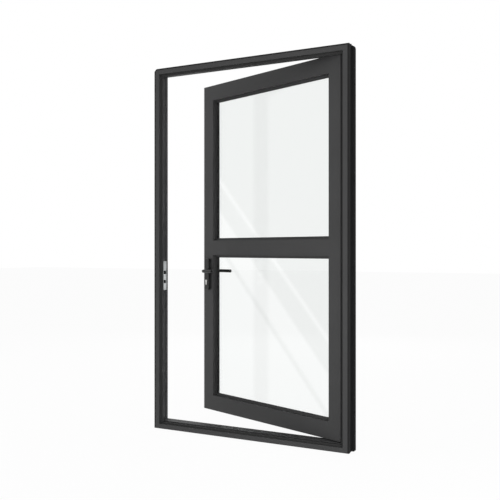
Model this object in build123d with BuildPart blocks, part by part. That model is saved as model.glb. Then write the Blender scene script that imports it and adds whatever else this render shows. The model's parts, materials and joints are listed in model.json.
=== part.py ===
from build123d import *
import os

os.makedirs("parts", exist_ok=True)

# Glazed aluminium entrance door in its frame, hinged on the right and shown 20 degrees open.
# X runs to the right, Y from the front face to the back, Z up, all in millimetres.
# The origin is under the middle of the sill, in the plane halfway through the closed leaf.

# Frame, measured outside the shells
frame_width = 1200.0
frame_height = 2100.0
frame_depth = 90.0
half_width = frame_width / 2

# Depths behind the frame's front face
ledge_depth = 18.0
front_shell_back = 22.0
stop_back = 28.0
leaf_front_depth = 30.0
rear_shell_front = 40.0
break_end = 50.0
groove_front = 60.0
groove_back = 72.0

# Insets from the frame's outer edge
face_inset = 33.0
stop_inset = 46.0
rebate_inset = 34.0
break_recess = 4.0
wall = 3.0

# Leaf, in its closed position
leaf_thickness = 50.0
leaf_left = -half_width + rebate_inset + 10.0
leaf_right = half_width - rebate_inset - 2.5
leaf_top = frame_height - rebate_inset - 2.4
leaf_bottom = 45.7
leaf_width = leaf_right - leaf_left
leaf_height = leaf_top - leaf_bottom
leaf_front = -leaf_thickness / 2
leaf_back = leaf_thickness / 2
frame_front = leaf_front - leaf_front_depth
frame_back = frame_front + frame_depth
stile_faces = {"lock_stile": 86.0, "hinge_stile": 82.0}
rail_face = 92.0
mid_rail_face = 91.0
mid_rail_centre = 1054.7

# Glazing rebate, as depths behind the leaf's front face and reaches past the profile's face
lip_width = 12.0
lip_front = 22.0
lip_back = 25.0
front_web = 18.0
back_web = 32.0
glass_front = 28.0
pane = 4.0
glass_back = 44.0
bead_floor = 8.0
glass_cover = 3.0
bead_reach = 8.0
seam = 0.2

# Swing of the leaf about the hinge pins
rest_opening = 20.0
pin_x = half_width - rebate_inset - 9.0
pin_y = leaf_back + 7.5
hinge_line = Axis((pin_x, pin_y, 0), (0, 0, 1))

# Lock and handles, on the middle line of the lock stile
lock_x = leaf_left + 44.0
lever_height = 910.0
cylinder_height = 848.0
latch_height = 909.0
bolt_height = 855.0
backplate_width = 40.0
backplate_height = 193.0
backplate_centre = 891.5
handle_bolt_spots = (806.0, 976.0)


def save(piece, name):
    piece.part.label = name
    export_step(piece.part, f"parts/{name}.step")


def save_on_leaf(piece, name):
    """The leaf is drawn closed, then swung to its resting angle with all that it carries."""
    piece.part = piece.part.rotate(hinge_line, -rest_opening)
    save(piece, name)


def section(outline, chambers=()):
    """Section of an extruded profile: its outline and the closed chambers inside it."""
    with BuildSketch(Plane.XY) as profile:
        with BuildLine():
            Polyline(*outline, close=True)
        make_face()
        for low_x, low_y, high_x, high_y in chambers:
            with Locations(((low_x + high_x) / 2, (low_y + high_y) / 2)):
                Rectangle(high_x - low_x, high_y - low_y, mode=Mode.SUBTRACT)
    return profile.sketch


def bar(plane, profile, length):
    """A length of profile, drawn on the plane that its section lies in."""
    with BuildPart() as piece:
        with BuildSketch(plane):
            add(profile)
        extrude(amount=length)
    return piece.part


def block(low, high):
    """A plain block between two opposite corners."""
    with BuildPart() as piece:
        with Locations(low):
            Box(*(b - a for a, b in zip(low, high)), align=Align.MIN)
    return piece.part


def ring(low, high, border, front, back):
    """An upright rectangular ring between two corners (x, z), seen from the front."""
    outer = block((low[0], front, low[1]), (high[0], back, high[1]))
    inner = block((low[0] + border, front, low[1] + border), (high[0] - border, back, high[1] - border))
    return outer - inner


# Frame profiles, as inset from the outer edge and depth from the front face
outer_bevel = (8.0, 1.5)
shell_foot = 26.0
rear_foot = 14.0
groove_floor = 31.0
slot_low = 37.0
slot_high = 43.0
slot_floor = 23.0
front_chamber = (wall, 6.0, face_inset - wall, ledge_depth - 2.0)
rear_chamber = (wall, break_end + wall, groove_floor - wall, frame_depth - wall)
front_shell = section(
    [
        (0, outer_bevel[1]), (outer_bevel[0], 0), (face_inset, 0), (face_inset, ledge_depth),
        (stop_inset, ledge_depth), (stop_inset, stop_back), (slot_high, stop_back),
        (slot_high, slot_floor), (slot_low, slot_floor), (slot_low, stop_back),
        (shell_foot, stop_back), (shell_foot, front_shell_back), (0, front_shell_back),
    ],
    [front_chamber],
)
thermal_break = section(
    [
        (break_recess, front_shell_back), (shell_foot, front_shell_back), (shell_foot, stop_back),
        (rebate_inset, stop_back), (rebate_inset, rear_shell_front), (rear_foot, rear_shell_front),
        (rear_foot, break_end), (break_recess, break_end),
    ],
    [
        (break_recess + wall, front_shell_back + wall, rear_foot - wall, break_end - wall),
        (rear_foot, front_shell_back + wall, shell_foot - wall, rear_shell_front - wall),
        (shell_foot, stop_back + wall, rebate_inset - wall, rear_shell_front - wall),
    ],
)
rear_shell = section(
    [
        (rear_foot, rear_shell_front), (rebate_inset, rear_shell_front), (rebate_inset, groove_front),
        (groove_floor, groove_front), (groove_floor, groove_back), (rebate_inset, groove_back),
        (rebate_inset, frame_depth), (0, frame_depth), (0, break_end), (rear_foot, break_end),
    ],
    [rear_chamber],
)
jamb_envelope = section(
    [
        (0, 0), (face_inset, 0), (face_inset, ledge_depth), (stop_inset, ledge_depth),
        (stop_inset, stop_back), (rebate_inset, stop_back), (rebate_inset, frame_depth),
        (0, frame_depth),
    ]
)

# Profile planes: local x is the inset and local y the depth
jamb_planes = {
    "left": Plane((-half_width, frame_front, 0), x_dir=(1, 0, 0), z_dir=(0, 0, 1)),
    "right": Plane((half_width, frame_front, frame_height), x_dir=(-1, 0, 0), z_dir=(0, 0, -1)),
}
head_plane = Plane((-half_width, frame_front, frame_height), x_dir=(0, 0, -1), z_dir=(1, 0, 0))
sill_plane = Plane((half_width, frame_front, 0), x_dir=(0, 0, 1), z_dir=(-1, 0, 0))

# The jambs meet the head in mitres, and the front corner over the lock side is cut off
mitres = {
    "left": Plane((-half_width, 0, frame_height), z_dir=(-1, 0, -1)),
    "right": Plane((half_width, 0, frame_height), z_dir=(1, 0, -1)),
}
corner_cut = 15.0
cut_corner = Plane((-half_width + corner_cut, 0, frame_height), z_dir=(-1, 0, 1))

# Fixing holes run sideways through the rear shells, along the groove
fixing_y = frame_front + (groove_front + groove_back) / 2
fixing_heights = (200.0, 700.0, 1400.0, 1900.0)
fixing_radius = 5.25
fixing_spots = [(fixing_y, height) for height in fixing_heights]

# Openings in the strike plate, as width along Y and height, on the plate's middle line
strike_y = 2.0
latch_opening = (24.0, 19.0)
bolt_opening = (24.0, 18.0)
keep_depth = 14.0
strike_screw_heights = (818.0, 882.0, 962.0)
strike_screw_radius = 2.1
strike_hole_radius = 2.2
lock_face = Plane((-half_width + rebate_inset, 0, 0), x_dir=(0, 1, 0), z_dir=(1, 0, 0))

for side, plane in jamb_planes.items():
    with BuildPart() as jamb_front:
        add(bar(plane, front_shell, frame_height))
        split(bisect_by=mitres[side], keep=Keep.TOP)
        if side == "left":
            split(bisect_by=cut_corner, keep=Keep.BOTTOM)
    save(jamb_front, f"{side}_jamb_front_shell")

    with BuildPart() as jamb_break:
        add(bar(plane, thermal_break, frame_height))
        split(bisect_by=mitres[side], keep=Keep.TOP)
    save(jamb_break, f"{side}_jamb_thermal_break")

    with BuildPart() as jamb_rear:
        add(bar(plane, rear_shell, frame_height))
        split(bisect_by=mitres[side], keep=Keep.TOP)
        outer_x = -half_width if side == "left" else half_width
        with BuildSketch(Plane((outer_x, 0, 0), x_dir=(0, 1, 0), z_dir=(1, 0, 0))):
            with Locations(*fixing_spots):
                Circle(fixing_radius)
        extrude(amount=rebate_inset, both=True, mode=Mode.SUBTRACT)
        if side == "left":
            with BuildSketch(lock_face):
                with Locations((strike_y, latch_height)):
                    Rectangle(*latch_opening)
                with Locations((strike_y, bolt_height)):
                    Rectangle(*bolt_opening)
                with Locations(*((strike_y, height) for height in strike_screw_heights)):
                    Circle(strike_hole_radius)
            extrude(amount=-keep_depth, mode=Mode.SUBTRACT)
    save(jamb_rear, f"{side}_jamb_rear_shell")

head_layers = {"front_shell": front_shell, "thermal_break": thermal_break, "rear_shell": rear_shell}
for layer, profile in head_layers.items():
    with BuildPart() as head:
        add(bar(head_plane, profile, frame_width))
        split(bisect_by=mitres["left"], keep=Keep.BOTTOM)
        split(bisect_by=mitres["right"], keep=Keep.BOTTOM)
        if layer == "front_shell":
            split(bisect_by=cut_corner, keep=Keep.BOTTOM)
    save(head, f"head_{layer}")

# Sill: a low threshold coped between the jambs, its rear shell lapping forward over the break
sill_face = 26.0
sill_step = 36.0
threshold = 41.0
lap_front = 30.0
sill_layers = {
    "front_shell": section(
        [
            (0, 0), (sill_face, 0), (sill_face, ledge_depth), (sill_step, ledge_depth),
            (sill_step, lap_front), (0, lap_front),
        ],
        [(wall, wall, sill_face - wall, lap_front - wall)],
    ),
    "thermal_break": section(
        [
            (break_recess, lap_front), (threshold - wall, lap_front),
            (threshold - wall, break_end), (break_recess, break_end),
        ],
        [(break_recess + wall, lap_front + wall, threshold - 2 * wall, break_end - wall)],
    ),
    "rear_shell": section(
        [
            (0, break_end), (threshold - wall, break_end), (threshold - wall, lap_front),
            (threshold, lap_front), (threshold, frame_depth), (0, frame_depth),
        ],
        [(wall, break_end + wall, threshold - wall, frame_depth - wall)],
    ),
}
for layer, profile in sill_layers.items():
    with BuildPart() as sill:
        add(bar(sill_plane, profile, frame_width))
        for plane in jamb_planes.values():
            add(bar(plane, jamb_envelope, frame_height), mode=Mode.SUBTRACT)
    save(sill, f"sill_{layer}")

# Corner cleats: cast angles inside the front and rear chambers, across each mitre
cleat_leg = 90.0
cleat_play = 0.3
with BuildPart() as corner_cleats:
    for sign in (-1, 1):
        for low, front, high, back in (front_chamber, rear_chamber):
            outer = low + cleat_play
            inner = high - cleat_play
            corner = (sign * half_width, frame_front + front + cleat_play, frame_height)
            angle_plane = Plane(corner, x_dir=(1, 0, 0), z_dir=(0, 1, 0))
            with BuildSketch(angle_plane):
                with BuildLine():
                    Polyline(
                        (-sign * outer, outer), (-sign * cleat_leg, outer), (-sign * cleat_leg, inner),
                        (-sign * inner, inner), (-sign * inner, cleat_leg), (-sign * outer, cleat_leg),
                        close=True,
                    )
                make_face()
            extrude(amount=back - front - 2 * cleat_play)
    split(bisect_by=cut_corner, keep=Keep.BOTTOM)
save(corner_cleats, "corner_cleats")

# Stop gasket: one rubber length down both jambs and along the head, behind the stop
gasket_play = 0.2
gasket_wing = 1.5
gasket_face = leaf_front_depth - 0.3
gasket_profile = section(
    [
        (slot_low + gasket_play, slot_floor + gasket_play),
        (slot_high - gasket_play, slot_floor + gasket_play),
        (slot_high - gasket_play, stop_back), (slot_high + gasket_wing, stop_back),
        (slot_high + gasket_wing, gasket_face), (slot_low - gasket_wing, gasket_face),
        (slot_low - gasket_wing, stop_back), (slot_low + gasket_play, stop_back),
    ]
)
with BuildPart() as stop_gasket:
    for side, plane in jamb_planes.items():
        add(split(bar(plane, gasket_profile, frame_height), bisect_by=mitres[side], mode=Mode.PRIVATE))
    across = bar(head_plane, gasket_profile, frame_width)
    for mitre in mitres.values():
        across = split(across, bisect_by=mitre, keep=Keep.BOTTOM, mode=Mode.PRIVATE)
    add(across)
    add(block((-half_width, frame_front, 0), (half_width, frame_back, threshold)), mode=Mode.SUBTRACT)
save(stop_gasket, "stop_gasket")

# Ledge seal: a flat rubber strip on the ledge between the frame's face and its stop
seal_thickness = 1.5
seal_margin = 0.5
with BuildPart() as ledge_seal:
    seal_front = frame_front + ledge_depth - seal_thickness
    seal_back = frame_front + ledge_depth
    outer_x = half_width - rebate_inset
    inner_x = half_width - stop_inset + seal_margin
    seal_top = frame_height - rebate_inset
    add(block((-outer_x, seal_front, sill_face + seal_margin), (outer_x, seal_back, seal_top)))
    middle_low = (-inner_x, seal_front, sill_step - seal_margin)
    middle_high = (inner_x, seal_back, frame_height - stop_inset + seal_margin)
    add(block(middle_low, middle_high), mode=Mode.SUBTRACT)
save(ledge_seal, "ledge_seal")

# Joint tape: foam strips round the outside of the rear shells, with hand-cut ends at the top
tape_front = frame_front + 53.0
tape_back = frame_front + 85.0
tape_thickness = 8.0
tape_top = frame_height - 5.0
tape_snip = (8.0, 9.0)
tape_half_width = half_width - 4.0
tape_slant = 20.0
tape_hole_radius = 6.25
with BuildPart() as joint_tape:
    for sign in (-1, 1):
        with BuildSketch(Plane((sign * half_width, 0, 0), x_dir=(0, 1, 0), z_dir=(1, 0, 0))):
            with BuildLine():
                Polyline(
                    (tape_front, 0), (tape_back, 0), (tape_back, tape_top - tape_snip[1]),
                    (tape_back - tape_snip[0], tape_top), (tape_front, tape_top), close=True,
                )
            make_face()
            with Locations(*fixing_spots):
                Circle(tape_hole_radius, mode=Mode.SUBTRACT)
        extrude(amount=sign * tape_thickness)
    with BuildSketch(Plane.XY.offset(frame_height)):
        with BuildLine():
            Polyline(
                (-tape_half_width, tape_front), (tape_half_width, tape_front),
                (tape_half_width - tape_slant, tape_back), (tape_slant - tape_half_width, tape_back),
                close=True,
            )
        make_face()
    extrude(amount=tape_thickness)
save(joint_tape, "joint_tape")

# Strike plate and its countersunk screws, on the lock jamb
strike_thickness = 2.0
strike_plate_size = (32.0, 169.0)
strike_plate_centre = (strike_y, 890.5)
strike_corner = 2.0
strike_sink_radius = 4.2
with BuildPart() as strike_plate:
    with BuildSketch(lock_face):
        with Locations(strike_plate_centre):
            RectangleRounded(*strike_plate_size, strike_corner)
        with Locations((strike_y, latch_height)):
            Rectangle(*latch_opening, mode=Mode.SUBTRACT)
        with Locations((strike_y, bolt_height)):
            Rectangle(*bolt_opening, mode=Mode.SUBTRACT)
    extrude(amount=strike_thickness)
    with Locations(lock_face.offset(strike_thickness)):
        with Locations(*((strike_y, height) for height in strike_screw_heights)):
            CounterSinkHole(strike_hole_radius, strike_sink_radius, strike_thickness)
save(strike_plate, "strike_plate")

screw_head = (4.0, 1.9)
screw_length = 14.0
screw_half = section(
    [
        (0, 0), (screw_head[0], 0), (strike_screw_radius, -screw_head[1]),
        (strike_screw_radius, -screw_length), (0, -screw_length),
    ]
)
with BuildPart() as strike_screws:
    for height in strike_screw_heights:
        seat = (-half_width + rebate_inset + strike_thickness, strike_y, height)
        with BuildSketch(Plane(seat, x_dir=(0, 1, 0), z_dir=(0, 0, -1))):
            add(screw_half)
        revolve(axis=Axis(seat, (1, 0, 0)))
save(strike_screws, "strike_screws")

# Butt hinges: frame wings and leaf wings share the knuckles of each barrel on a steel pin
hinge_heights = (260.0, 1054.0, 1850.0)
hinge_length = 100.0
knuckle_radius = 7.0
knuckle_half = 18.5
knuckle_gap = 0.5
pin_radius = 3.5
pin_fit = 0.05
pin_head = (5.5, 4.0)
wing_thickness = 4.0
wing_edge = 9.0
frame_wing_margin = 7.0
leaf_wing_width = 62.0


def barrel(low, high):
    """Knuckle standing round the pin between two heights."""
    with BuildPart() as knuckle:
        with BuildSketch(Plane((pin_x, pin_y, low))):
            Circle(knuckle_radius)
        extrude(amount=high - low)
    return knuckle.part


with BuildPart() as frame_wings:
    for height in hinge_heights:
        low = height - hinge_length / 2
        high = height + hinge_length / 2
        wing_back = frame_back + wing_thickness
        add(block((pin_x + wing_edge, frame_back, low), (half_width - frame_wing_margin, wing_back, high)))
        outer_half = knuckle_half + knuckle_gap
        for bottom, top in ((low, height - outer_half), (height + outer_half, high)):
            add(block((pin_x, frame_back, bottom), (pin_x + wing_edge, wing_back, top)))
            add(barrel(bottom, top))
    with Locations((pin_x, pin_y, frame_height / 2)):
        Cylinder(pin_radius + pin_fit, frame_height, mode=Mode.SUBTRACT)
save(frame_wings, "hinge_frame_wings")

with BuildPart() as leaf_wings:
    for height in hinge_heights:
        low = height - hinge_length / 2
        high = height + hinge_length / 2
        wing_back = leaf_back + wing_thickness
        add(block((pin_x - leaf_wing_width, leaf_back, low), (pin_x - wing_edge, wing_back, high)))
        tongue_low = (pin_x - wing_edge, leaf_back, height - knuckle_half)
        add(block(tongue_low, (pin_x, wing_back, height + knuckle_half)))
        add(barrel(height - knuckle_half, height + knuckle_half))
    with Locations((pin_x, pin_y, frame_height / 2)):
        Cylinder(pin_radius + pin_fit, frame_height, mode=Mode.SUBTRACT)
save_on_leaf(leaf_wings, "hinge_leaf_wings")

with BuildPart() as hinge_pins:
    for height in hinge_heights:
        low = height - hinge_length / 2
        high = height + hinge_length / 2
        with BuildSketch(Plane.XZ.offset(-pin_y)):
            for foot, top, radius in (
                (low - pin_head[1], low, pin_head[0]),
                (low, high, pin_radius),
                (high, high + pin_head[1], pin_head[0]),
            ):
                with Locations((pin_x, foot)):
                    Rectangle(radius, top - foot, align=Align.MIN)
        revolve(axis=Axis((pin_x, pin_y, 0), (0, 0, 1)))
save(hinge_pins, "hinge_pins")

# Leaf profiles, as inset from the leaf's outer edge and depth from its front face
def leaf_sections(face):
    """Front shell, break and rear shell of a stile or an outer rail with this width of face."""
    floor = face - bead_floor
    front = section(
        [
            (0, 0), (face, 0), (face, lip_front), (face + lip_width, lip_front),
            (face + lip_width, lip_back), (floor, lip_back), (floor, front_web), (0, front_web),
        ],
        [(wall, wall, face - wall, front_web - wall)],
    )
    middle = section(
        [(wall, front_web), (floor, front_web), (floor, back_web), (wall, back_web)],
        [(2 * wall, front_web + wall, floor - wall, back_web - wall)],
    )
    rear = section(
        [(0, back_web), (floor, back_web), (floor, leaf_thickness), (0, leaf_thickness)],
        [(wall, back_web + wall, floor - wall, leaf_thickness - wall)],
    )
    return {"front_shell": front, "thermal_break": middle, "rear_shell": rear}


def mid_rail_sections():
    half = mid_rail_face / 2
    floor = half - bead_floor
    reach = half + lip_width
    front = section(
        [
            (-half, 0), (half, 0), (half, lip_front), (reach, lip_front), (reach, lip_back),
            (floor, lip_back), (floor, front_web), (-floor, front_web), (-floor, lip_back),
            (-reach, lip_back), (-reach, lip_front), (-half, lip_front),
        ],
        [(wall - half, wall, half - wall, front_web - wall)],
    )
    middle = section(
        [(-floor, front_web), (floor, front_web), (floor, back_web), (-floor, back_web)],
        [(wall - floor, front_web + wall, floor - wall, back_web - wall)],
    )
    rear = section(
        [(-floor, back_web), (floor, back_web), (floor, leaf_thickness), (-floor, leaf_thickness)],
        [(wall - floor, back_web + wall, floor - wall, leaf_thickness - wall)],
    )
    return {"front_shell": front, "thermal_break": middle, "rear_shell": rear}


def stile_outline(face):
    """All that a stile of this face fills, which the rails are coped to."""
    floor = face - bead_floor
    return section(
        [
            (0, 0), (face, 0), (face, lip_front), (face + lip_width, lip_front),
            (face + lip_width, lip_back), (floor, lip_back), (floor, leaf_thickness), (0, leaf_thickness),
        ]
    )


stile_planes = {
    "lock_stile": Plane((leaf_left, leaf_front, leaf_bottom), x_dir=(1, 0, 0), z_dir=(0, 0, 1)),
    "hinge_stile": Plane((leaf_right, leaf_front, leaf_top), x_dir=(-1, 0, 0), z_dir=(0, 0, -1)),
}
rail_planes = {
    "top_rail": Plane((leaf_left, leaf_front, leaf_top), x_dir=(0, 0, -1), z_dir=(1, 0, 0)),
    "mid_rail": Plane((leaf_left, leaf_front, mid_rail_centre), x_dir=(0, 0, -1), z_dir=(1, 0, 0)),
    "bottom_rail": Plane((leaf_right, leaf_front, leaf_bottom), x_dir=(0, 0, 1), z_dir=(-1, 0, 0)),
}
rail_layers = {
    "top_rail": leaf_sections(rail_face),
    "mid_rail": mid_rail_sections(),
    "bottom_rail": leaf_sections(rail_face),
}

# Lock pocket, faceplate seat and through-holes that the lock stile is machined for
faceplate_half = 10.0
faceplate_thickness = 2.5
faceplate_low = 792.0
faceplate_high = 984.0
case_half = 6.8
case_low = 816.0
case_high = 950.0
case_back = leaf_left + 68.0
case_corner = 3.0
seat_play = 0.1
pocket_play = 0.2
pocket_ends = 1.0
spindle_hole_radius = 9.0
handle_bolt_radius = 2.5
handle_bolt_hole_radius = 3.0
cylinder_hole_play = 0.5
barrel_radius = 8.5
profile_foot = 24.0
profile_web = 10.0


def cylinder_profile(extra):
    """Round barrel over a narrow web, seen along the leaf's normal and grown by a clearance."""
    with BuildSketch(Plane.XZ) as outline:
        with Locations((lock_x, cylinder_height)):
            Circle(barrel_radius + extra)
        foot_centre = cylinder_height - profile_foot + profile_web / 2
        with Locations((lock_x, foot_centre)):
            Circle(profile_web / 2 + extra)
        with Locations((lock_x, (cylinder_height + foot_centre) / 2)):
            Rectangle(profile_web + 2 * extra, cylinder_height - foot_centre)
    return outline.sketch


def through_leaf(sketch, half_length):
    """A solid of this outline, running along the leaf's normal either side of its middle."""
    with BuildPart() as piece:
        extrude(sketch, amount=half_length, both=True)
    return piece.part


with BuildPart() as lock_machining:
    seat_half = faceplate_half + seat_play
    seat_low = (leaf_left, -seat_half, faceplate_low - seat_play)
    seat_high = (leaf_left + faceplate_thickness, seat_half, faceplate_high + seat_play)
    add(block(seat_low, seat_high))
    pocket_half = case_half + pocket_play
    pocket_low = (leaf_left, -pocket_half, case_low - pocket_ends)
    add(block(pocket_low, (case_back + pocket_ends, pocket_half, case_high + pocket_ends)))
    add(through_leaf(cylinder_profile(cylinder_hole_play), leaf_thickness))
    with BuildSketch(Plane.XZ):
        with Locations((lock_x, lever_height)):
            Circle(spindle_hole_radius)
        with Locations(*((lock_x, height) for height in handle_bolt_spots)):
            Circle(handle_bolt_hole_radius)
    extrude(amount=leaf_thickness, both=True)

stile_breaks = []
for name, plane in stile_planes.items():
    for layer, profile in leaf_sections(stile_faces[name]).items():
        with BuildPart() as stile:
            add(bar(plane, profile, leaf_height))
            if name == "lock_stile":
                add(lock_machining.part, mode=Mode.SUBTRACT)
        if layer == "thermal_break":
            stile_breaks.append(stile.part)
        else:
            save_on_leaf(stile, f"{name}_{layer}")

rail_breaks = []
for name, plane in rail_planes.items():
    for layer, profile in rail_layers[name].items():
        with BuildPart() as rail:
            add(bar(plane, profile, leaf_width))
            for stile, stile_plane in stile_planes.items():
                coping = stile_outline(stile_faces[stile])
                add(bar(stile_plane, coping, leaf_height), mode=Mode.SUBTRACT)
        if layer == "thermal_break":
            rail_breaks.append(rail.part)
        else:
            save_on_leaf(rail, f"{name}_{layer}")

with BuildPart() as stile_thermal_breaks:
    add(stile_breaks)
save_on_leaf(stile_thermal_breaks, "stile_thermal_breaks")

with BuildPart() as rail_thermal_breaks:
    add(rail_breaks)
save_on_leaf(rail_thermal_breaks, "rail_thermal_breaks")

# Glazing: two sealed units, each held between a rubber gasket and four clip-on beads
glass_left = leaf_left + stile_faces["lock_stile"] - glass_cover
glass_right = leaf_right - stile_faces["hinge_stile"] + glass_cover
half_mid = mid_rail_face / 2
glass_fields = {
    "upper": (mid_rail_centre + half_mid - glass_cover, leaf_top - rail_face + glass_cover),
    "lower": (leaf_bottom + rail_face - glass_cover, mid_rail_centre - half_mid + glass_cover),
}
seal_width = lip_width + glass_cover
floor_gap = bead_floor - glass_cover
bead_width = bead_reach + bead_floor
unit_front = leaf_front + glass_front
unit_back = leaf_front + glass_back
block_length = 80.0
block_parts = []
for name, (low, high) in glass_fields.items():
    for layer, front in (("outer_pane", unit_front), ("inner_pane", unit_back - pane)):
        with BuildPart() as sheet:
            add(block((glass_left, front, low), (glass_right, front + pane, high)))
        save_on_leaf(sheet, f"{name}_{layer}")

    with BuildPart() as spacer:
        add(ring((glass_left, low), (glass_right, high), seal_width, unit_front + pane, unit_back - pane))
    save_on_leaf(spacer, f"{name}_spacer")

    with BuildPart() as gasket:
        add(ring((glass_left, low), (glass_right, high), seal_width, leaf_front + lip_back, unit_front))
    save_on_leaf(gasket, f"{name}_glazing_gasket")

    with BuildPart() as beads:
        bead_left = glass_left - floor_gap
        bead_right = glass_right + floor_gap
        bead_low = low - floor_gap
        bead_high = high + floor_gap
        for bottom in (bead_low, bead_high - bead_width):
            add(block((bead_left, unit_back, bottom), (bead_right, leaf_back, bottom + bead_width)))
        upright_low = bead_low + bead_width + seam
        upright_high = bead_high - bead_width - seam
        for left in (bead_left, bead_right - bead_width):
            add(block((left, unit_back, upright_low), (left + bead_width, leaf_back, upright_high)))
    save_on_leaf(beads, f"{name}_glazing_beads")

    for share in (0.2, 0.8):
        middle = glass_left + share * (glass_right - glass_left)
        block_low = (middle - block_length / 2, unit_front, low - floor_gap)
        block_parts.append(block(block_low, (middle + block_length / 2, unit_back, low)))

with BuildPart() as setting_blocks:
    add(block_parts)
save_on_leaf(setting_blocks, "setting_blocks")

# Bottom seal: a brush in a carrier that fills the recess under the bottom rail
brush_half = 3.0
brush_margin = 2.0
brush_foot = threshold + 0.6
with BuildPart() as bottom_seal:
    carrier_left = leaf_left + stile_faces["lock_stile"] + lip_width
    carrier_right = leaf_right - stile_faces["hinge_stile"] - lip_width
    carrier_low = (carrier_left, leaf_front + front_web, leaf_bottom)
    add(block(carrier_low, (carrier_right, leaf_front + back_web, leaf_bottom + wall)))
    brush_low = (leaf_left + brush_margin, -brush_half, brush_foot)
    add(block(brush_low, (leaf_right - brush_margin, brush_half, leaf_bottom)))
save_on_leaf(bottom_seal, "bottom_seal")

# Lock: a narrow case behind its faceplate, with a sprung latch and a dead bolt
latch_size = (10.6, 16.0)
bolt_size = (10.6, 15.0)
slide_play = 0.3
latch_tail = leaf_left + 20.0
latch_reach = 12.0
bolt_tail = leaf_left + 28.0
latch_channel = 33.0
bolt_channel_depth = 29.0
bolt_recess = 0.2
bolt_bevel = 1.0
latch_nose = 2.0
latch_shoulder = 1.0
cam_half = 5.0
cam_sweep_radius = 15.6
cam_sweep_half = 5.4
follower_radius = 10.0
spindle_width = 8.0
spindle_play = 0.05


def bolt_channel(size, height, depth):
    """The passage that a latch or bolt of this section slides in, from the leaf's edge inwards."""
    half = size[0] / 2 + slide_play
    rise = size[1] / 2 + slide_play
    return block((leaf_left, -half, height - rise), (leaf_left + depth, half, height + rise))


with BuildPart() as lock_case:
    add(block((leaf_left + faceplate_thickness, -case_half, case_low), (case_back, case_half, case_high)))
    chamfer(lock_case.edges().filter_by(Axis.Y), case_corner)
    add(bolt_channel(latch_size, latch_height, latch_channel), mode=Mode.SUBTRACT)
    add(bolt_channel(bolt_size, bolt_height, bolt_channel_depth), mode=Mode.SUBTRACT)
    add(through_leaf(cylinder_profile(slide_play), leaf_thickness), mode=Mode.SUBTRACT)
    with BuildSketch(Plane.XZ):
        with Locations((lock_x, lever_height)):
            Circle(follower_radius + spindle_play)
    extrude(amount=leaf_thickness, both=True, mode=Mode.SUBTRACT)
    with BuildSketch(Plane.XZ):
        with Locations((lock_x, cylinder_height)):
            Circle(cam_sweep_radius)
    extrude(amount=cam_sweep_half, both=True, mode=Mode.SUBTRACT)
save_on_leaf(lock_case, "lock_case")

with BuildPart() as faceplate:
    faceplate_front = leaf_left + faceplate_thickness
    add(block((leaf_left, -faceplate_half, faceplate_low), (faceplate_front, faceplate_half, faceplate_high)))
    chamfer(faceplate.edges().filter_by(Axis.X), case_corner)
    add(bolt_channel(latch_size, latch_height, faceplate_thickness), mode=Mode.SUBTRACT)
    add(bolt_channel(bolt_size, bolt_height, faceplate_thickness), mode=Mode.SUBTRACT)
save_on_leaf(faceplate, "lock_faceplate")

with BuildPart() as latch:
    with BuildSketch(Plane.XY.offset(latch_height - latch_size[1] / 2)):
        half = latch_size[0] / 2
        tip = leaf_left - latch_reach
        with BuildLine():
            Polyline(
                (latch_tail, -half), (latch_tail, half), (tip, half), (tip, half - latch_nose),
                (leaf_left - latch_shoulder, -half), close=True,
            )
        make_face()
    extrude(amount=latch_size[1])
save_on_leaf(latch, "latch_bolt")

with BuildPart() as dead_bolt:
    half = bolt_size[0] / 2
    rise = bolt_size[1] / 2
    bolt_low = (leaf_left + bolt_recess, -half, bolt_height - rise)
    add(block(bolt_low, (bolt_tail, half, bolt_height + rise)))
    chamfer(dead_bolt.faces().sort_by(Axis.X)[0].edges(), bolt_bevel)
save_on_leaf(dead_bolt, "dead_bolt")

with BuildPart() as follower:
    with BuildSketch(Plane.XZ):
        with Locations((lock_x, lever_height)):
            Circle(follower_radius)
            socket_width = spindle_width + 2 * spindle_play
            Rectangle(socket_width, socket_width, mode=Mode.SUBTRACT)
    extrude(amount=case_half, both=True)
save_on_leaf(follower, "lock_follower")

# Levers: round bars bent through a right angle, on one square spindle
backplate_thickness = 18.0
backplate_corner = 6.0
backplate_bevel = 2.0
neck_play = 0.3
bolt_fit = 0.2
lever_radius = 10.0
lever_tip_bevel = 1.5
lever_projection = 52.0
lever_length = 95.0
lever_bend = 18.0
neck_start = 2.0
spindle_depth = 34.0
socket_room = 0.5

with BuildPart() as spindle:
    half = spindle_width / 2
    reach = leaf_back + spindle_depth
    add(block((lock_x - half, -reach, lever_height - half), (lock_x + half, reach, lever_height + half)))
save_on_leaf(spindle, "spindle")

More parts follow.
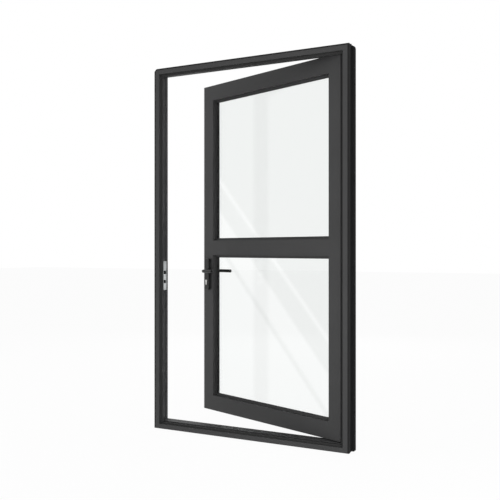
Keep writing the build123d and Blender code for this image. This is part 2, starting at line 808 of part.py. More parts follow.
for name, sign in (("outer", -1), ("inner", 1)):
    face_y = sign * leaf_back
    start = Vector(lock_x, face_y + sign * neck_start, lever_height)
    bend = Vector(lock_x, face_y + sign * lever_projection, lever_height)
    tip = bend + Vector(lever_length, 0, 0)
    with BuildPart() as lever:
        with BuildLine() as path:
            FilletPolyline(start, bend, tip, radius=lever_bend)
        with BuildSketch(Plane(start, z_dir=(0, sign, 0))):
            Circle(lever_radius)
        sweep(path=path.line)
        chamfer(lever.faces().sort_by(Axis.X)[-1].edges(), lever_tip_bevel)
        half = spindle_width / 2 + spindle_play
        socket_end = face_y + sign * (spindle_depth + socket_room)
        socket_low = (lock_x - half, min(start.Y, socket_end), lever_height - half)
        socket_high = (lock_x + half, max(start.Y, socket_end), lever_height + half)
        add(block(socket_low, socket_high), mode=Mode.SUBTRACT)
    save_on_leaf(lever, f"{name}_lever")

    plate_plane = Plane((lock_x, face_y, 0), x_dir=(1, 0, 0), z_dir=(0, -1, 0))
    with BuildPart() as backplate:
        with BuildSketch(plate_plane):
            with Locations((0, backplate_centre)):
                RectangleRounded(backplate_width, backplate_height, backplate_corner)
        extrude(amount=-sign * backplate_thickness)
        outer_face = backplate.faces().filter_by(Axis.Y).sort_by(Axis.Y)[0 if sign < 0 else -1]
        chamfer(outer_face.edges(), backplate_bevel)
        with BuildSketch(plate_plane):
            with Locations((0, lever_height)):
                Circle(lever_radius + neck_play)
            with Locations(*((0, height) for height in handle_bolt_spots)):
                Circle(handle_bolt_radius + bolt_fit)
        extrude(amount=leaf_thickness, both=True, mode=Mode.SUBTRACT)
        add(through_leaf(cylinder_profile(slide_play), 2 * leaf_thickness), mode=Mode.SUBTRACT)
    save_on_leaf(backplate, f"{name}_backplate")

# Bolts that clamp the two backplates through the stile
with BuildPart() as handle_bolts:
    reach = leaf_back + backplate_thickness
    with BuildSketch(Plane.XZ):
        with Locations(*((lock_x, height) for height in handle_bolt_spots)):
            Circle(handle_bolt_radius)
    extrude(amount=reach, both=True)
save_on_leaf(handle_bolts, "handle_bolts")

# Lock cylinder: body, two plugs with keyways, and the cam between them
plug_radius = 6.5
plug_play = 0.05
plug_gap = 0.2
cylinder_proud = 3.0
cylinder_half = leaf_back + backplate_thickness + cylinder_proud
cam_lobe = (11.0, 6.0)
cam_lobe_centre = 9.0
keyway = (2.0, 9.0)

with BuildPart() as cylinder_body:
    add(through_leaf(cylinder_profile(0), cylinder_half))
    with BuildSketch(Plane.XZ):
        with Locations((lock_x, cylinder_height)):
            Circle(plug_radius + plug_play)
    extrude(amount=cylinder_half, both=True, mode=Mode.SUBTRACT)
    with BuildSketch(Plane.XZ):
        with Locations((lock_x, cylinder_height)):
            Circle(cam_sweep_radius)
    extrude(amount=cam_sweep_half, both=True, mode=Mode.SUBTRACT)
save_on_leaf(cylinder_body, "cylinder_body")

with BuildPart() as cam:
    with BuildSketch(Plane.XZ):
        with Locations((lock_x, cylinder_height)):
            Circle(barrel_radius)
        with Locations((lock_x + cam_lobe_centre, cylinder_height)):
            Rectangle(*cam_lobe)
    extrude(amount=cam_half, both=True)
save_on_leaf(cam, "cylinder_cam")

for name, sign in (("outer", -1), ("inner", 1)):
    with BuildPart() as plug:
        plug_end = sign * cylinder_half
        with BuildSketch(Plane.XZ.offset(-plug_end)):
            with Locations((lock_x, cylinder_height)):
                Circle(plug_radius)
                Rectangle(*keyway, mode=Mode.SUBTRACT)
        extrude(amount=sign * (cylinder_half - cam_half - plug_gap))
    save_on_leaf(plug, f"{name}_key_plug")
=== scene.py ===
# %% [markdown]
# # A glazed entrance door in its frame
# The door is an aluminium frame with a leaf hinged on the right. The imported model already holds
# every profile, pane, hinge and lock piece at its real size, so this script only dresses it:
# finishes, small screws, rubber lips and collars, and then the camera, the lamps and the floor of
# a plain studio. All lengths are in metres.

import json
import math

import bpy
from mathutils import Matrix, Vector


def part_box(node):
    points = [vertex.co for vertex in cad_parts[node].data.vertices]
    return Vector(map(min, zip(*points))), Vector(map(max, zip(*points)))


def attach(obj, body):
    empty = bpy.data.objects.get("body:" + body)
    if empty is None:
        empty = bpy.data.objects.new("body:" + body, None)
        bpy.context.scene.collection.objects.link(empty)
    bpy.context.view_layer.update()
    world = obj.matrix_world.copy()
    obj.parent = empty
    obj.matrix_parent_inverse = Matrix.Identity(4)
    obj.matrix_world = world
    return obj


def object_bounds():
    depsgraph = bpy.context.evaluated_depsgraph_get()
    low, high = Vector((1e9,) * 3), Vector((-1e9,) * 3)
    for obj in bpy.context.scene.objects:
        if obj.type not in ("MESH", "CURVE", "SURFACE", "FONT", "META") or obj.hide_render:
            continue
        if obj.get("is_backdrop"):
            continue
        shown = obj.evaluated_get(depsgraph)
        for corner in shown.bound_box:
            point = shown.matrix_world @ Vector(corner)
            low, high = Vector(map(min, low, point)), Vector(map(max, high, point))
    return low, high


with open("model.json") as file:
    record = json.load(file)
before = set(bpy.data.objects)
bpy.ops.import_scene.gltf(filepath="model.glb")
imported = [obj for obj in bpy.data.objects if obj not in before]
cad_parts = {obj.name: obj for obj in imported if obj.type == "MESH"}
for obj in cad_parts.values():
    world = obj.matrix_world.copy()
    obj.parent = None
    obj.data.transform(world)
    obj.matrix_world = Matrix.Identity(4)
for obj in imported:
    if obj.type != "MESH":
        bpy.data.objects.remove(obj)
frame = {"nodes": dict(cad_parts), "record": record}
bpy.ops.object.select_all(action="DESELECT")
cad_low, cad_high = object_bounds()
nodes = frame["nodes"]
print("model box", [round(v, 3) for v in (*cad_low, *cad_high)], "with", len(nodes), "pieces")

# %% [markdown]
# ## The camera
# It stands to the right of the door, level and at waist height, so that upright lines stay
# upright. A picture 500 pixels wide with a focal length of 730 pixels is what a 52.6 mm lens
# gives on a sensor 36 mm wide.

# %% Camera
camera_place = Vector((1.8661, -3.5959, 1.0413))
camera_turn = math.radians(27.39)
level_view = math.radians(90)
picture_width = 500
focal_length = 730
sensor_width = 36.0
bpy.ops.object.camera_add(location=camera_place, rotation=(level_view, 0, camera_turn))
camera = bpy.context.object
camera.name = "door_camera"
camera.data.sensor_width = sensor_width
camera.data.lens = sensor_width * (focal_length / picture_width)
bpy.context.scene.camera = camera
print("lens", round(camera.data.lens, 2), "mm")

# %% [markdown]
# ## Finishes
# Every finish is a Principled shader with a little life in it. Powder coat is not one flat
# colour: it is a fine orange-peel skin, so a small noise drives its bump and a broad one its
# roughness. Brushed metal has long thin scratches, which are the same noise stretched along one
# axis. All patterns read Object coordinates, because every piece shares one origin and the grain
# then has one scale everywhere.

# %% Shader
def new_finish(name, colour, roughness, metallic=0.0, specular=0.5):
    """A material with one Principled shader, and that shader."""
    material = bpy.data.materials.new(name)
    material.use_nodes = True
    shader = material.node_tree.nodes["Principled BSDF"]
    shader.inputs["Base Color"].default_value = (*colour, 1)
    shader.inputs["Roughness"].default_value = roughness
    shader.inputs["Metallic"].default_value = metallic
    shader.inputs["Specular IOR Level"].default_value = specular
    return material, shader


def drive(material, shader, name, pattern):
    """Lets a pattern set one input of the shader."""
    material.node_tree.links.new(pattern, shader.inputs[name])


print("every finish starts as one Principled shader")

# %% [markdown]
# The noise fills space, so it runs through a piece as grain runs through wood, and no piece has
# to be unwrapped for it. A Mapping node stretches it, and a Bump node makes a relief of it that
# would be too fine to model.

# %% Noise and bump
def noise_on(material, scale, detail=2.0, stretch=(1, 1, 1)):
    """A noise pattern in object space, drawn out along the axes where its stretch is small."""
    tree = material.node_tree
    place = tree.nodes.new("ShaderNodeTexCoord")
    mapping = tree.nodes.new("ShaderNodeMapping")
    mapping.inputs["Scale"].default_value = stretch
    noise = tree.nodes.new("ShaderNodeTexNoise")
    noise.inputs["Scale"].default_value = scale
    noise.inputs["Detail"].default_value = detail
    tree.links.new(place.outputs["Object"], mapping.inputs["Vector"])
    tree.links.new(mapping.outputs["Vector"], noise.inputs["Vector"])
    return noise.outputs["Fac"]


def bump_on(material, shader, pattern, strength, depth):
    """Raises a pattern from the surface by up to this depth."""
    bump = material.node_tree.nodes.new("ShaderNodeBump")
    bump.inputs["Strength"].default_value = strength
    bump.inputs["Distance"].default_value = depth
    material.node_tree.links.new(pattern, bump.inputs["Height"])
    drive(material, shader, "Normal", bump.outputs["Normal"])


print("noise and bump helpers ready")

# %% [markdown]
# A noise mostly lies between 0.3 and 0.7, so a ramp over that range spreads it between two
# colours. The same ramp with more stops draws bands. Where a number is wanted and not a colour,
# such as a roughness, the ramp gives greys.

# %% Ramps
noise_range = (0.3, 0.7)


def grey(level):
    """A colour whose three parts are equal."""
    return (level, level, level)


def ramp_on(material, pattern, stops):
    """Turns a pattern into colours, by stops of place and colour in rising order."""
    tree = material.node_tree
    ramp = tree.nodes.new("ShaderNodeValToRGB")
    elements = ramp.color_ramp.elements
    for element, (place, colour) in zip(elements, stops):
        element.position = place
    for place, colour in stops[2:]:
        elements.new(place)
    for element, (place, colour) in zip(elements, stops):
        element.color = (*colour, 1)
    tree.links.new(pattern, ramp.inputs["Fac"])
    return ramp.outputs["Color"]


def spread(material, noise, low, high):
    """Spreads a noise between two colours."""
    return ramp_on(material, noise, list(zip(noise_range, (low, high))))


print("ramps spread a noise from", noise_range[0], "to", noise_range[1])

# %% [markdown]
# The powder coat of the profiles is a neutral dark grey, almost matt. Its grain is about half a
# millimetre across, and hands and weather leave it a little smoother in broad patches. The hinges
# and handles have the same kind of paint in darker tints.

# %% Powder coat and painted metal
coat_specular = 0.35
patch_scale = 2.2
patch_changes = (-0.05, 0.06)
cloud_scale = 5.0
cloud_detail = 4.0
cloud_shares = (0.95, 1.05)
grain_depth = 0.0002


def coated_metal(name, colour, roughness, grain, relief):
    """Paint with a fine grain, a faintly cloudy tint and broad patches that are smoother."""
    material, shader = new_finish(name, colour, roughness, specular=coat_specular)
    smoother, rougher = (grey(roughness + change) for change in patch_changes)
    patches = noise_on(material, patch_scale)
    drive(material, shader, "Roughness", spread(material, patches, smoother, rougher))
    dark, pale = (tuple(share * part for part in colour) for share in cloud_shares)
    clouds = noise_on(material, cloud_scale, cloud_detail)
    drive(material, shader, "Base Color", spread(material, clouds, dark, pale))
    bump_on(material, shader, noise_on(material, grain), relief, grain_depth)
    return material


powder_coat = coated_metal(
    "powder_coat_grey", colour=(0.038, 0.038, 0.0385), roughness=0.55, grain=1800, relief=0.10
)
hinge_coat = coated_metal(
    "powder_coat_hinges", colour=(0.032, 0.032, 0.0325), roughness=0.50, grain=1800, relief=0.10
)
handle_black = coated_metal(
    "satin_black_handles", colour=(0.010, 0.010, 0.010), roughness=0.36, grain=2500, relief=0.05
)
print("coated metals", powder_coat.name, hinge_coat.name, handle_black.name)

# %% [markdown]
# The outside of the frame goes into the wall. Its narrow bevel round the face is painted darker
# than the face, and the sides behind it darker again: this is painted shade, for the little light
# that reaches those outer faces. How far a point lies from the middle of the doorway says where it
# is, sideways for the jambs and upwards for the head. A few Math nodes work that distance out.

# %% Distance out of the doorway
frame_reach = 0.600
frame_top = 2.100


def maths(tree, operation, *values):
    """A Math node whose inputs are numbers or the outputs of other nodes."""
    node = tree.nodes.new("ShaderNodeMath")
    node.operation = operation
    for socket, value in zip(node.inputs, values):
        if isinstance(value, bpy.types.NodeSocket):
            tree.links.new(value, socket)
        else:
            socket.default_value = value
    return node.outputs["Value"]


coat_tree = powder_coat.node_tree
coat_place = coat_tree.nodes.new("ShaderNodeTexCoord")
coat_parts = coat_tree.nodes.new("ShaderNodeSeparateXYZ")
coat_tree.links.new(coat_place.outputs["Object"], coat_parts.inputs["Vector"])
aside = maths(coat_tree, "ABSOLUTE", coat_parts.outputs["X"])
above = maths(coat_tree, "SUBTRACT", coat_parts.outputs["Z"], frame_top - frame_reach)
outward = maths(coat_tree, "MAXIMUM", aside, above)
print("the frame's outside lies", frame_reach, "out")

# %% [markdown]
# A ramp over that distance darkens the tint near the outside, which is painted shade, and another
# roughens it, as a thin dusting of powder is rough. That is why the mask needs no painted image
# and no second finish.

# %% Painted shade on the frame's outer bevel and sides
bevel_width = 0.008
side_margin = 0.001
blur = 0.0006
painted_bevel_shade = 0.34
painted_side_shade = 0.18
dust_roughness = 0.42

bevel_start = frame_reach - bevel_width
side_start = frame_reach - side_margin
# painted shade: the bevel and the outer sides of the frame are darkened to stand in for the shade
# on them
shade_stops = [
    (bevel_start - blur, grey(1)),
    (bevel_start, grey(painted_bevel_shade)),
    (side_start - blur, grey(painted_bevel_shade)),
    (side_start, grey(painted_side_shade)),
]
coat_shader = coat_tree.nodes["Principled BSDF"]
full_tint = coat_shader.inputs["Base Color"].links[0].from_socket
shaded = coat_tree.nodes.new("ShaderNodeVectorMath")
shaded.operation = "MULTIPLY"
coat_tree.links.new(full_tint, shaded.inputs[0])
coat_tree.links.new(ramp_on(powder_coat, outward, shade_stops), shaded.inputs[1])
drive(powder_coat, coat_shader, "Base Color", shaded.outputs["Vector"])

dust_stops = [(bevel_start - blur, grey(0)), (bevel_start, grey(dust_roughness))]
full_roughness = coat_shader.inputs["Roughness"].links[0].from_socket
dusty = maths(coat_tree, "ADD", full_roughness, ramp_on(powder_coat, outward, dust_stops))
drive(powder_coat, coat_shader, "Roughness", dusty)
print("bevel shade", painted_bevel_shade, "side shade", painted_side_shade)

# %% [markdown]
# Stainless steel and nickel reflect the room, so their colour is set as metal. The strike plate
# and the lock front were brushed lengthwise, which is up and down on the door.

# %% Bare metals
scratch_detail = 3.0
scratch_changes = (-0.08, 0.1)
scratch_relief = 0.08
scratch_depth = 0.0001


def brushed_metal(name, colour, roughness, scale, stretch=(1, 1, 1)):
    """Bare metal whose fine scratches are lines where the noise is stretched."""
    material, shader = new_finish(name, colour, roughness, metallic=1.0)
    scratches = noise_on(material, scale, scratch_detail, stretch)
    smoother, rougher = (grey(roughness + change) for change in scratch_changes)
    drive(material, shader, "Roughness", spread(material, scratches, smoother, rougher))
    bump_on(material, shader, scratches, scratch_relief, scratch_depth)
    return material


steel = brushed_metal(
    "brushed_stainless", colour=(0.62, 0.63, 0.64), roughness=0.32, scale=900, stretch=(1, 1, 0.03)
)
nickel = brushed_metal("satin_nickel", colour=(0.66, 0.655, 0.64), roughness=0.24, scale=1400)
aluminium = brushed_metal("cast_aluminium", colour=(0.6, 0.61, 0.62), roughness=0.45, scale=300)
print("bare metals", steel.name, nickel.name, aluminium.name)

# %% [markdown]
# Rubber, foam and the black plastic of the thermal breaks swallow light. Foam has open cells a
# millimetre across, and the brush under the leaf has upright bristles, so its noise is stretched
# along the height. Foam and the breaks have hardly any sheen, so their specular level is low.

# %% Rubber, foam and plastic
soft_detail = 3.0
soft_shares = (0.7, 1.4)


def soft_finish(
    name, colour, roughness, grain, relief, stretch=(1, 1, 1), depth=0.0004, specular=0.25
):
    """A dull finish whose grain varies both its tint and its height."""
    material, shader = new_finish(name, colour, roughness, specular=specular)
    pattern = noise_on(material, grain, soft_detail, stretch)
    dark, pale = (tuple(share * part for part in colour) for share in soft_shares)
    drive(material, shader, "Base Color", spread(material, pattern, dark, pale))
    bump_on(material, shader, pattern, relief, depth)
    return material


rubber = soft_finish(
    "gasket_rubber", colour=(0.012, 0.012, 0.012), roughness=0.6, grain=1200, relief=0.1
)
# the ledge seal's grey is partly the rubber's own tone and partly painted shade for the ledge
seal_grey_and_shade = soft_finish(
    "ledge_seal_rubber_and_shade", colour=(0.026, 0.026, 0.026), roughness=0.6, grain=1200, relief=0.1
)
break_plastic = soft_finish(
    "polyamide_black", colour=(0.007, 0.007, 0.0073), roughness=0.6, grain=1500, relief=0.08,
    specular=0.06
)
foam = soft_finish(
    "joint_foam", colour=(0.012, 0.012, 0.0125), roughness=0.95, grain=900, relief=0.7,
    depth=0.0008, specular=0.06
)
bristles = soft_finish(
    "brush_bristles", colour=(0.01, 0.01, 0.01), roughness=0.8, grain=2500, relief=0.8,
    stretch=(1, 1, 0.02)
)
spacer_black = soft_finish(
    "spacer_sealant", colour=(0.012, 0.012, 0.013), roughness=0.5, grain=600, relief=0.15
)
setting_blue = soft_finish(
    "setting_block_plastic", colour=(0.02, 0.035, 0.09), roughness=0.5, grain=900, relief=0.08
)
print("soft and plastic finishes made")

# %% [markdown]
# ## The glass
# Each pane is a thin sheet of clear glass with a breath of green. Light from the lamps has to
# reach the floor behind the door, and a real pane lets it through, so shadow rays see it as
# nearly clear. Two panes have four mirroring faces. A refractive index below that of real glass
# keeps the mirror image of the frame as faint as an eye sees it in front of a bright room.

# %% Glass
dim_tint = (0.936, 0.946, 0.941)
# the brighter tint is painted reflection, used only for the streaks below
painted_reflection_tint = (0.976, 0.984, 0.980)
shadow_tint = (0.93, 0.95, 0.94)
weak_index = 1.22


def mix_shaders(tree, share, first, second, output):
    """Joins two shaders at the surface: the first where the share is 0, the second where 1."""
    blend = tree.nodes.new("ShaderNodeMixShader")
    tree.links.new(share, blend.inputs["Fac"])
    tree.links.new(first, blend.inputs[1])
    tree.links.new(second, blend.inputs[2])
    tree.links.new(blend.outputs["Shader"], tree.nodes[output].inputs["Surface"])


glass, pane_shader = new_finish("clear_float_glass", dim_tint, 0.0)
pane_shader.inputs["Transmission Weight"].default_value = 1.0
pane_shader.inputs["IOR"].default_value = weak_index
glass_tree = glass.node_tree
glass_rays = glass_tree.nodes.new("ShaderNodeLightPath")
clear = glass_tree.nodes.new("ShaderNodeBsdfTransparent")
clear.inputs["Color"].default_value = (*shadow_tint, 1)
mix_shaders(
    glass_tree, glass_rays.outputs["Is Shadow Ray"],
    pane_shader.outputs["BSDF"], clear.outputs["BSDF"], "Material Output"
)
print("glass", glass.name)

# %% [markdown]
# Big panes mirror a bright room as long slanted streaks. Here those streaks are painted
# reflection: a very faint change of the tint, laid over both panes by one measure: the height of a
# point plus its place across the door, which is the same all along a line that falls to the right.
# A ramp over that measure then holds the painted streaks from bottom to top: bright glass with one
# dim streak in it, dim glass, and one thin bright streak near its lower edge.

# %% Painted reflection streaks on the glass
fall = 1.08
measure_range = 2.0
# painted reflection: the bright bands stand in for the room mirrored in the panes
streaks = [
    (0.60, painted_reflection_tint), (0.64, dim_tint), (0.68, painted_reflection_tint),
    (0.84, painted_reflection_tint), (0.88, dim_tint),
    (1.01, dim_tint), (1.045, painted_reflection_tint), (1.08, dim_tint),
]

glass_place = glass_tree.nodes.new("ShaderNodeTexCoord")
slant = glass_tree.nodes.new("ShaderNodeVectorMath")
slant.operation = "DOT_PRODUCT"
slant.inputs[1].default_value = (fall / measure_range, 0, 1 / measure_range)
glass_tree.links.new(glass_place.outputs["Object"], slant.inputs[0])
streak_stops = [(measure / measure_range, tint) for measure, tint in streaks]
drive(glass, pane_shader, "Base Color", ramp_on(glass, slant.outputs["Value"], streak_stops))
print("streaks at", [measure for measure, tint in streaks])

# %% [markdown]
# ## Dressing the model
# The record names a slot for every piece, such as powder_coat or rubber, so the pieces are walked
# through once and each gets the finish of its slot. Two of them differ from the rest of their
# slot: the seal on the frame's ledge is a grey rubber, to match the coat; being darker than the
# coat, it also stands in as painted shade in the ledge. The handle bolts are blackened steel.

# %% Finish of every piece
finishes = {
    "powder_coat": powder_coat,
    "hinge_coat": hinge_coat,
    "black_handle": handle_black,
    "thermal_break": break_plastic,
    "rubber": rubber,
    "joint_foam": foam,
    "glass": glass,
    "spacer": spacer_black,
    "setting_plastic": setting_blue,
    "brush_seal": bristles,
    "steel": steel,
    "cylinder_nickel": nickel,
    "cleat_aluminium": aluminium,
}
slots = {row["node"]: row["material_slot"] for row in frame["record"]["subparts"]}
for name, piece in nodes.items():
    piece.data.materials.clear()
    piece.data.materials.append(finishes[slots[name]])
nodes["ledge_seal"].data.materials[0] = seal_grey_and_shade
nodes["handle_bolts"].data.materials[0] = handle_black
print("dressed", len(nodes), "pieces in", len(finishes), "finishes")

# %% [markdown]
# ## Where the leaf stands
# What is added to the leaf is made for the shut leaf, whose outline is plain numbers, and then
# takes the swing that the leaf has at rest. The hinge line is the middle of the pins.

# %% Outline and swing of the leaf
millimetre = 0.001
leaf_left = -0.556
leaf_right = 0.5635
leaf_bottom = 0.0457
leaf_top = 2.0636
leaf_front = -25 * millimetre
leaf_back = 25 * millimetre
rest_opening = math.radians(20)

pins_low, pins_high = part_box("hinge_pins")
hinge_x = (pins_low.x + pins_high.x) / 2
hinge_y = (pins_low.y + pins_high.y) / 2
to_hinge = Matrix.Translation((hinge_x, hinge_y, 0))
swing = to_hinge @ Matrix.Rotation(-rest_opening, 4, "Z") @ to_hinge.inverted()
print("hinge line at", round(hinge_x, 4), round(hinge_y, 4))

# %% [markdown]
# ## Screws
# Every added piece is closed up in the same way: its place goes into its mesh, it gets its name
# and finish, and it is fastened to the body that carries it. A hole is cut with a boolean
# modifier, because the cutter leaves clean walls.

# %% Closing up and cutting
smooth_angle = math.radians(35)


def take(piece):
    """Makes one object the only selected and the active one."""
    bpy.ops.object.select_all(action="DESELECT")
    bpy.context.view_layer.objects.active = piece
    piece.select_set(True)


def close_up(piece, name, finish, body):
    """Names a finished piece, brings its place into its mesh and fastens it to its body."""
    take(piece)
    bpy.ops.object.transform_apply(location=True, rotation=True, scale=True)
    piece.name = name
    piece.data.name = name
    piece.data.materials.clear()
    piece.data.materials.append(finish)
    bpy.ops.object.shade_smooth_by_angle(angle=smooth_angle)
    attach(piece, body)
    piece.select_set(False)


def cut_out(piece, cutter):
    """Takes the cutter's shape out of a piece and deletes the cutter."""
    take(piece)
    cut = piece.modifiers.new("cut", "BOOLEAN")
    cut.operation = "DIFFERENCE"
    cut.object = cutter
    bpy.ops.object.modifier_apply(modifier=cut.name)
    bpy.data.objects.remove(cutter)


print("edges sharper than", round(math.degrees(smooth_angle)), "degrees stay sharp")

# %% [markdown]
# A screw head is a short cylinder whose rim is bevelled and whose middle holds a hexagon socket.
# It is modelled facing upwards, by bevelling the edge of its top and sinking the socket with a
# six-sided cutter.

# %% Screw head
head_sides = 32
socket_sides = 6
rim_share = 0.45
rim_segments = 3
socket_share = 0.45
socket_lift = 0.4
facing_up = 0.9


def screw_head(radius, height):
    """One screw head round the origin, with its socket upwards."""
    bpy.ops.mesh.primitive_cylinder_add(vertices=head_sides, radius=radius, depth=height)
    head = bpy.context.object
    bpy.ops.object.mode_set(mode="EDIT")
    bpy.ops.mesh.select_all(action="DESELECT")
    bpy.ops.object.mode_set(mode="OBJECT")
    for face in head.data.polygons:
        face.select = face.normal.z > facing_up
    bpy.ops.object.mode_set(mode="EDIT")
    bpy.ops.mesh.bevel(offset=height * rim_share, segments=rim_segments, affect="EDGES")
    bpy.ops.object.mode_set(mode="OBJECT")
    bpy.ops.object.select_all(action="DESELECT")
    bpy.ops.mesh.primitive_cylinder_add(
        vertices=socket_sides, radius=radius * socket_share, depth=height
    )
    cutter = bpy.context.object
    cutter.location.z = height * socket_lift
    cut_out(head, cutter)
    return head


print("a screw head has", head_sides, "sides and its socket", socket_sides)

# %% [markdown]
# Screws of one plate are all alike, so one head is modelled for them. Its copies are turned to
# face out of the plate, set at their places and joined into one piece.

# %% Screws of one plate
def screw_group(name, places, facing, radius, height, finish, body, turn=Matrix()):
    """Copies of one screw head at several places, all facing one way, joined into one piece."""
    head = screw_head(radius, height)
    aim = Vector((0, 0, 1)).rotation_difference(Vector(facing)).to_matrix().to_4x4()
    copies = []
    for place in places:
        copy = head.copy()
        copy.data = head.data.copy()
        bpy.context.collection.objects.link(copy)
        copy.matrix_world = turn @ Matrix.Translation(place) @ aim
        copies.append(copy)
    bpy.data.objects.remove(head)
    bpy.ops.object.select_all(action="DESELECT")
    for copy in copies:
        copy.select_set(True)
    bpy.context.view_layer.objects.active = copies[0]
    bpy.ops.object.join()
    close_up(bpy.context.object, name, finish, body)


print("screws are made in groups, one group for a plate")

# %% [markdown]
# Each hinge has three screws in its wing on the frame and four in its wing on the leaf, where the
# load is spread over a wider plate. The wings are on the inside of the door, so they show only
# from behind.

# %% Hinge screws
screw_radius = 4.2 * millimetre
screw_height = 1.0 * millimetre
frame_back = 35 * millimetre
wing_thickness = 4 * millimetre
hinge_heights = (0.260, 1.054, 1.850)
frame_column = 0.5795
leaf_columns = (0.507, 0.536)
screw_step = 34 * millimetre
inwards = (0, 1, 0)

frame_places = []
leaf_places = []
for height in hinge_heights:
    for step in (-1, 0, 1):
        level = height + step * screw_step
        frame_places.append((frame_column, frame_back + wing_thickness, level))
    for column, step in zip(leaf_columns * 2, (-1, -1, 1, 1)):
        leaf_places.append((column, leaf_back + wing_thickness, height + step * screw_step))
screw_group(
    "hinge_frame_screws", frame_places, inwards, screw_radius, screw_height,
    steel, "frame"
)
screw_group(
    "hinge_leaf_screws", leaf_places, inwards, screw_radius, screw_height,
    steel, "leaf", swing
)
print("hinge screws", len(frame_places), "on the frame and", len(leaf_places), "on the leaf")

# %% [markdown]
# The lock's front plate has a screw near each end, and the inner backplate has the two heads of
# the bolts that clamp the handle set together. The plate outside shows only their blind ends, so
# it stays plain.

# %% Lock and handle screws
lock_x = -0.512
front_heights = (0.801, 0.975)
front_screw_radius = 3.4 * millimetre
front_screw_height = 0.6 * millimetre
bolt_heights = (0.806, 0.976)
bolt_head_radius = 4.5 * millimetre
bolt_head_height = 1.6 * millimetre
backplate_thickness = 18 * millimetre
towards_jamb = (-1, 0, 0)

front_places = [(leaf_left, 0, height) for height in front_heights]
screw_group(
    "lock_front_screws", front_places, towards_jamb, front_screw_radius, front_screw_height,
    steel, "leaf", swing
)
bolt_places = [(lock_x, leaf_back + backplate_thickness, height) for height in bolt_heights]
screw_group(
    "backplate_screws", bolt_places, inwards, bolt_head_radius, bolt_head_height,
    handle_black, "leaf", swing
)
print("screws on the lock", len(front_places), "and on the backplate", len(bolt_places))

# %% [markdown]
# ## Rubber lips round the glass
# Seen close, the metal never touches the glass: a thin black lip of rubber shows between them on
# both sides. A lip is a flat rectangle the size of the opening, inset by the lip's width, with
# its middle deleted, then extruded to its thickness and bevelled along its edges.

# %% Lip maker
def round_edges(piece, width, segments):
    """Rounds the sharp edges of a piece."""
    take(piece)
    rounding = piece.modifiers.new("rounding", "BEVEL")
    rounding.width = width
    rounding.segments = segments
    bpy.ops.object.modifier_apply(modifier=rounding.name)


lip_rounding_share = 0.3
lip_segments = 2


def upright_ring(low, high, width, front, back):
    """A rectangular ring standing upright, between two corners (x, z) and two depths."""
    centre = ((low[0] + high[0]) / 2, front, (low[1] + high[1]) / 2)
    upright = (math.radians(90), 0, 0)
    bpy.ops.mesh.primitive_plane_add(size=1, location=centre, rotation=upright)
    ring = bpy.context.object
    ring.scale = (high[0] - low[0], high[1] - low[1], 1)
    bpy.ops.object.transform_apply(location=False, rotation=True, scale=True)
    bpy.ops.object.mode_set(mode="EDIT")
    bpy.ops.mesh.select_all(action="SELECT")
    bpy.ops.mesh.inset(thickness=width)
    bpy.ops.mesh.delete(type="FACE")
    bpy.ops.mesh.select_all(action="SELECT")
    bpy.ops.mesh.extrude_region_move(TRANSFORM_OT_translate={"value": (0, back - front, 0)})
    bpy.ops.mesh.select_all(action="SELECT")
    bpy.ops.mesh.normals_make_consistent(inside=False)
    bpy.ops.object.mode_set(mode="OBJECT")
    round_edges(ring, min(width, abs(back - front)) * lip_rounding_share, lip_segments)
    return ring


print("lips are rounded in", lip_segments, "steps")

# %% [markdown]
# Each glass field has a lip outside and one inside. Outside it lies behind the profile's own
# thin edge, which reaches further over the glass than the beads do inside, so the two lips have
# different openings.

# %% Lips of both fields
lock_stile_face = 86 * millimetre
hinge_stile_face = 82 * millimetre
rail_face = 92 * millimetre
mid_rail_low = 1.0092
mid_rail_high = 1.1002
profile_reach = 12 * millimetre
bead_reach = 8 * millimetre
lip_width = 2.6 * millimetre
outer_lip_front = leaf_front + 22.8 * millimetre
outer_pane_front = leaf_front + 28 * millimetre
inner_pane_back = leaf_front + 44 * millimetre
inner_lip_back = inner_pane_back + 4 * millimetre

fields = {
    "upper": (mid_rail_high, leaf_top - rail_face),
    "lower": (leaf_bottom + rail_face, mid_rail_low),
}
sides = (
    ("outer", profile_reach, outer_lip_front, outer_pane_front),
    ("inner", bead_reach, inner_pane_back, inner_lip_back),
)
for field, (low, high) in fields.items():
    for side, reach, front, back in sides:
        corner_low = (leaf_left + lock_stile_face + reach, low + reach)
        corner_high = (leaf_right - hinge_stile_face - reach, high - reach)
        lip = upright_ring(corner_low, corner_high, lip_width, front, back)
        lip.matrix_world = swing @ lip.matrix_world
        close_up(lip, f"{field}_{side}_lip", rubber, "leaf")
print("lips round", len(fields), "fields on", len(sides), "sides")

# %% [markdown]
# ## Collars of the levers
# Where a lever's neck leaves its backplate, a thin collar sits on the plate round it. A torus
# flattened against the plate would look the same, but a short tube keeps a true inner wall.

# %% Lever collars
lever_height = 0.910
collar_radius = 13.2 * millimetre
neck_radius = 10.3 * millimetre
collar_height = 2.4 * millimetre
cutter_height = collar_height * 3
collar_sides = 48
collar_rounding = 0.7 * millimetre
collar_segments = 3
along_neck = (math.radians(90), 0, 0)

for side, outwards in (("outer", -1), ("inner", 1)):
    plate_face = outwards * (leaf_back + backplate_thickness)
    centre = (lock_x, plate_face + outwards * collar_height / 2, lever_height)
    bpy.ops.mesh.primitive_cylinder_add(
        vertices=collar_sides, radius=collar_radius, depth=collar_height,
        location=centre, rotation=along_neck
    )
    collar = bpy.context.object
    bpy.ops.mesh.primitive_cylinder_add(
        vertices=collar_sides, radius=neck_radius, depth=cutter_height,
        location=centre, rotation=along_neck
    )
    cut_out(collar, bpy.context.object)
    round_edges(collar, collar_rounding, collar_segments)
    collar.matrix_world = swing @ collar.matrix_world
    close_up(collar, f"{side}_lever_collar", handle_black, "leaf")
print("collars made, each", round(collar_height / millimetre, 1), "mm high")

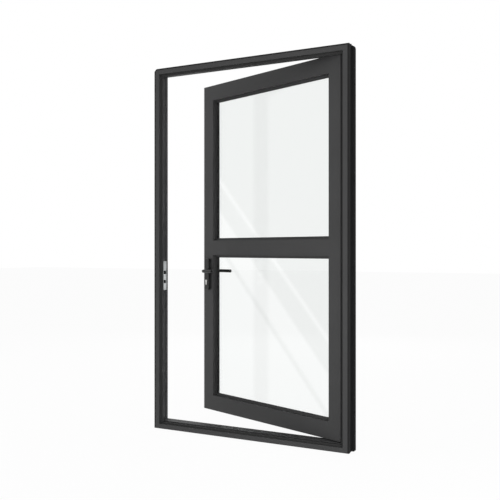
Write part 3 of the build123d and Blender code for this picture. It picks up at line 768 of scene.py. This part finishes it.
# %% [markdown]
# ## Studio
# The door stands on a pure white ground. The floor is pale and takes the door's soft shadow, and
# both the floor and the world add white only where the camera, a mirror or a pane looks at them,
# so no more light falls on the dark metal than the lamps give.

# %% Floor
floor_size = 60.0
floor_colour = (0.9, 0.9, 0.9)
floor_roughness = 0.9
glow_share = 0.95
white_strength = 1.0


def looked_at(tree):
    """1 for rays from the camera, off a mirror or through a pane, and 0 for the rest."""
    rays = tree.nodes.new("ShaderNodeLightPath")
    direct = maths(
        tree, "MAXIMUM", rays.outputs["Is Camera Ray"], rays.outputs["Is Glossy Ray"]
    )
    return maths(tree, "MAXIMUM", direct, rays.outputs["Is Transmission Ray"])


bpy.ops.mesh.primitive_plane_add(size=floor_size, location=(0, 0, cad_low[2]))
floor = bpy.context.object
floor.name = "studio_floor"
floor_finish, floor_shader = new_finish(
    "studio_floor_white", floor_colour, floor_roughness, specular=0.0
)
floor_tree = floor_finish.node_tree
glow = floor_tree.nodes.new("ShaderNodeEmission")
glow.inputs["Strength"].default_value = white_strength
white_share = maths(floor_tree, "MULTIPLY", looked_at(floor_tree), glow_share)
mix_shaders(
    floor_tree, white_share, floor_shader.outputs["BSDF"], glow.outputs["Emission"],
    "Material Output"
)
floor.data.materials.append(floor_finish)
floor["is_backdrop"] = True
print("floor at height", round(cad_low[2], 4))

# %% [markdown]
# The world is an even, dim light all round the door, which fills the shadows. Seen by the camera,
# in a mirror or through a pane it is white, as the floor is.

# %% World
ambient_strength = 0.45
white = (1, 1, 1, 1)

world = bpy.data.worlds.new("studio_world")
bpy.context.scene.world = world
world.use_nodes = True
world_tree = world.node_tree
ambient = world_tree.nodes["Background"]
ambient.inputs["Color"].default_value = white
ambient.inputs["Strength"].default_value = ambient_strength
backdrop = world_tree.nodes.new("ShaderNodeBackground")
backdrop.inputs["Color"].default_value = white
backdrop.inputs["Strength"].default_value = white_strength
mix_shaders(
    world_tree, looked_at(world_tree),
    ambient.outputs["Background"], backdrop.outputs["Background"], "World Output"
)
print("world", world.name, "with ambient light", ambient_strength)

# %% [markdown]
# Five big soft lamps model the door. The fill at the right is the strongest in front, because the
# right jamb is the brightest part of the frame. The key at the left reaches the face of the
# opened leaf, a low and a top lamp soften the sill and the head, and the last stands behind.
# None of them shows in the glass or the steel, which mirror the white room.

# %% Lamps
door_middle = Vector((0, 0, 1.0))


def soft_lamp(name, place, size, power):
    """A square lamp that faces the middle of the door."""
    aim = (door_middle - Vector(place)).to_track_quat("-Z", "Y").to_euler()
    bpy.ops.object.light_add(type="AREA", location=place, rotation=aim)
    lamp = bpy.context.object
    lamp.name = name
    lamp.data.size = size
    lamp.data.energy = power
    lamp.visible_camera = False
    lamp.visible_glossy = False
    lamp.visible_transmission = False


soft_lamp("key_lamp", place=(-4.2, -1.6, 1.8), size=2.6, power=40)
soft_lamp("fill_lamp", place=(2.6, -2.0, 1.1), size=2.2, power=62)
soft_lamp("low_lamp", place=(0.5, -2.4, 0.15), size=1.6, power=22)
soft_lamp("top_lamp", place=(0.3, -1.6, 4.2), size=2.4, power=6)
soft_lamp("back_lamp", place=(-1.5, 4.2, 2.4), size=2.8, power=60)
bpy.context.scene.view_settings.view_transform = "Standard"
print("lamps placed")

# %% [markdown]
# ## Sizes
# What was added stays inside the door's own box, which the two boxes printed here show.

# %% Print the sizes
low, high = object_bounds()
print("visual box", [round(v, 3) for v in (*low, *high)])
